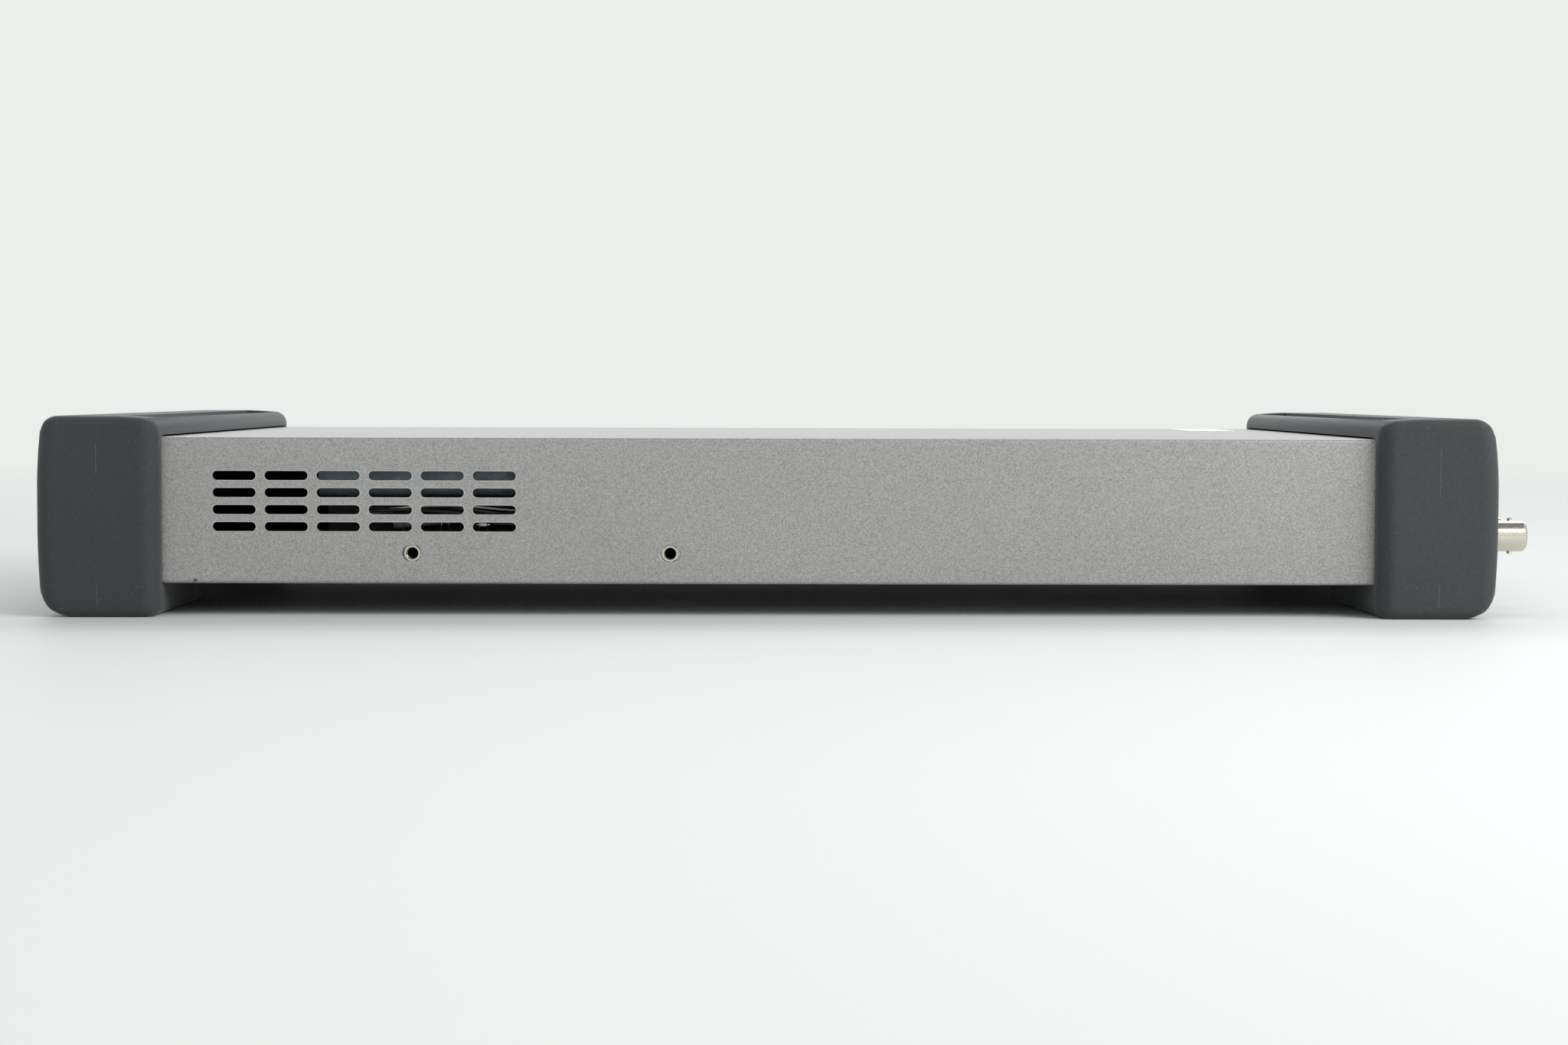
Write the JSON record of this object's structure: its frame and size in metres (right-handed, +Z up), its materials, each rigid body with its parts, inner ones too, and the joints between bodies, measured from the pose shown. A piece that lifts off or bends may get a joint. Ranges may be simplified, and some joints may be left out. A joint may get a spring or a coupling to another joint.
{
  "type": "function generator",
  "caption": "Low half-rack-width function generator with a folded metal sleeve, side vents, end bumpers, display, push keys, a knob, coaxial connectors and a rear fan.",
  "frame": {"origin": "on the floor under the middle of the instrument's overall length and width", "axes": "-Y out of the front panel, +X to the right seen from the front, +Z up"},
  "size_m": [0.226, 0.4442, 0.0587],
  "materials": {
    "rubber": "fine matte grain",
    "painted_steel": "satin metallic grey",
    "zinc_steel": "zinc plated, satin",
    "nickel": "nickel plated, bright",
    "bezel_plastic": "fine texture",
    "key_plastic": "satin",
    "black_plastic": "satin",
    "window_glass": "polished",
    "lcd_cell": "glossy",
    "board_laminate": "solder mask",
    "ptfe": "waxy",
    "winding_tape": "polyester tape",
    "anodised_aluminium": "black anodised",
    "cable_insulation": "satin"
  },
  "bodies": {
    "instrument": {"front_bumper": "rubber", "rear_bumper": "rubber", "cover_sleeve": "painted_steel", "chassis_tray": "zinc_steel", "insert_nut_left_front": "nickel", "insert_nut_left_rear": "nickel", "insert_nut_right_front": "nickel", "insert_nut_right_rear": "nickel", "front_bezel": "bezel_plastic", "display_window": "window_glass", "display_module": "lcd_cell", "front_board": "board_laminate", "rotary_encoder": "zinc_steel", "sync_connector": "nickel", "sync_connector_insulator": "ptfe", "output_connector": "nickel", "output_connector_insulator": "ptfe", "usb_host_port": "nickel", "rear_panel": "zinc_steel", "power_inlet": "black_plastic", "inlet_pin_line": "nickel", "inlet_pin_earth": "nickel", "inlet_pin_neutral": "nickel", "fan_frame": "black_plastic", "trigger_connector": "nickel", "modulation_connector": "nickel", "reference_connector": "nickel", "lan_jack": "zinc_steel", "usb_device_port": "nickel", "ground_stud": "nickel", "main_board": "board_laminate", "standoff_front_left": "nickel", "standoff_front_right": "nickel", "standoff_rear_left": "nickel", "standoff_rear_right": "nickel", "supply_shield": "zinc_steel", "supply_transformer": "winding_tape", "supply_capacitor_1": "black_plastic", "supply_capacitor_2": "black_plastic", "supply_heat_sink": "anodised_aluminium", "supply_loom": "cable_insulation", "output_stage_can": "zinc_steel", "processor_chip": "black_plastic", "front_ribbon": "cable_insulation"},
    "power_button_body": {"power_button": "black_plastic"},
    "soft_key_1_body": {"soft_key_1": "key_plastic"},
    "soft_key_2_body": {"soft_key_2": "key_plastic"},
    "soft_key_3_body": {"soft_key_3": "key_plastic"},
    "soft_key_4_body": {"soft_key_4": "key_plastic"},
    "soft_key_5_body": {"soft_key_5": "key_plastic"},
    "waveform_key_body": {"waveform_key": "key_plastic"},
    "utility_key_body": {"utility_key": "key_plastic"},
    "output_key_body": {"output_key": "key_plastic"},
    "up_key_body": {"up_key": "key_plastic"},
    "down_key_body": {"down_key": "key_plastic"},
    "left_key_body": {"left_key": "key_plastic"},
    "right_key_body": {"right_key": "key_plastic"},
    "adjust_knob_body": {"adjust_knob": "key_plastic"},
    "fan_rotor_body": {"fan_rotor": "black_plastic"}
  },
  "joints": [
    {"name": "power_button_press", "type": "slide", "parent": "instrument", "child": "power_button_body", "axis": [0, 1, 0], "range_m": [0, 0.0008], "stiffness_N_per_m": 1500, "springref_m": -0.0003},
    {"name": "soft_key_1_press", "type": "slide", "parent": "instrument", "child": "soft_key_1_body", "axis": [0, 1, 0], "range_m": [0, 0.0008], "stiffness_N_per_m": 1500, "springref_m": -0.0003},
    {"name": "soft_key_2_press", "type": "slide", "parent": "instrument", "child": "soft_key_2_body", "axis": [0, 1, 0], "range_m": [0, 0.0008], "stiffness_N_per_m": 1500, "springref_m": -0.0003},
    {"name": "soft_key_3_press", "type": "slide", "parent": "instrument", "child": "soft_key_3_body", "axis": [0, 1, 0], "range_m": [0, 0.0008], "stiffness_N_per_m": 1500, "springref_m": -0.0003},
    {"name": "soft_key_4_press", "type": "slide", "parent": "instrument", "child": "soft_key_4_body", "axis": [0, 1, 0], "range_m": [0, 0.0008], "stiffness_N_per_m": 1500, "springref_m": -0.0003},
    {"name": "soft_key_5_press", "type": "slide", "parent": "instrument", "child": "soft_key_5_body", "axis": [0, 1, 0], "range_m": [0, 0.0008], "stiffness_N_per_m": 1500, "springref_m": -0.0003},
    {"name": "waveform_key_press", "type": "slide", "parent": "instrument", "child": "waveform_key_body", "axis": [0, 1, 0], "range_m": [0, 0.0008], "stiffness_N_per_m": 1500, "springref_m": -0.0003},
    {"name": "utility_key_press", "type": "slide", "parent": "instrument", "child": "utility_key_body", "axis": [0, 1, 0], "range_m": [0, 0.0008], "stiffness_N_per_m": 1500, "springref_m": -0.0003},
    {"name": "output_key_press", "type": "slide", "parent": "instrument", "child": "output_key_body", "axis": [0, 1, 0], "range_m": [0, 0.0008], "stiffness_N_per_m": 1500, "springref_m": -0.0003},
    {"name": "up_key_press", "type": "slide", "parent": "instrument", "child": "up_key_body", "axis": [0, 1, 0], "range_m": [0, 0.0008], "stiffness_N_per_m": 1500, "springref_m": -0.0003},
    {"name": "down_key_press", "type": "slide", "parent": "instrument", "child": "down_key_body", "axis": [0, 1, 0], "range_m": [0, 0.0008], "stiffness_N_per_m": 1500, "springref_m": -0.0003},
    {"name": "left_key_press", "type": "slide", "parent": "instrument", "child": "left_key_body", "axis": [0, 1, 0], "range_m": [0, 0.0008], "stiffness_N_per_m": 1500, "springref_m": -0.0003},
    {"name": "right_key_press", "type": "slide", "parent": "instrument", "child": "right_key_body", "axis": [0, 1, 0], "range_m": [0, 0.0008], "stiffness_N_per_m": 1500, "springref_m": -0.0003},
    {"name": "knob_turn", "type": "hinge", "parent": "instrument", "child": "adjust_knob_body", "pos_m": [0.0875, -0.212, 0.0312], "axis": [0, -1, 0], "continuous": true},
    {"name": "fan_spin", "type": "hinge", "parent": "instrument", "child": "fan_rotor_body", "pos_m": [0.043, 0.197, 0.0311], "axis": [0, 1, 0], "continuous": true}
  ]
}
